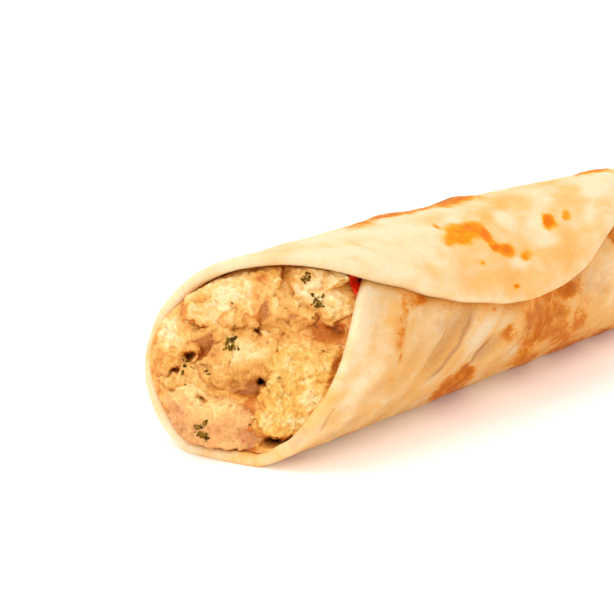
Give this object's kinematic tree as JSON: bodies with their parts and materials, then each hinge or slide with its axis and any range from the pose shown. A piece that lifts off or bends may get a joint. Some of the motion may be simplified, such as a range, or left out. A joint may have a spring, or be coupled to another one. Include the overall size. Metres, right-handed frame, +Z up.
{
  "type": "paneer tikka roll",
  "caption": "Toasted flatbread rolled around chunks of spiced paneer, with a slanted open mouth, a loose flap along the top and an open tail.",
  "frame": {"origin": "middle of the underside of the roll's box, on the surface it lies on", "axes": "+X along the roll from its mouth to its tail, +Z up, the loose flap ends on the -Y side"},
  "size_m": [0.214, 0.0584, 0.0494],
  "materials": {
    "toasted_bread": "pale dry flatbread with browned blisters",
    "paneer": "crumbly paneer under a yellow and orange marinade",
    "filling": "shaded spiced filling",
    "pepper": "moist red pepper skin"
  },
  "bodies": {
    "root": {"flatbread": "toasted_bread", "filling_core": "filling", "paneer_upper_left": "paneer", "paneer_upper_right": "paneer", "paneer_middle": "paneer", "paneer_lower_right": "paneer", "paneer_centre": "paneer", "paneer_bottom": "paneer", "paneer_left": "paneer", "paneer_sliver": "paneer", "paneer_shaded": "paneer", "paneer_recessed": "paneer", "pepper_red": "pepper", "paneer_tail_1": "paneer", "paneer_tail_2": "paneer", "paneer_tail_3": "paneer", "paneer_tail_4": "paneer", "paneer_tail_5": "paneer", "paneer_tail_6": "paneer"}
  },
  "joints": []
}
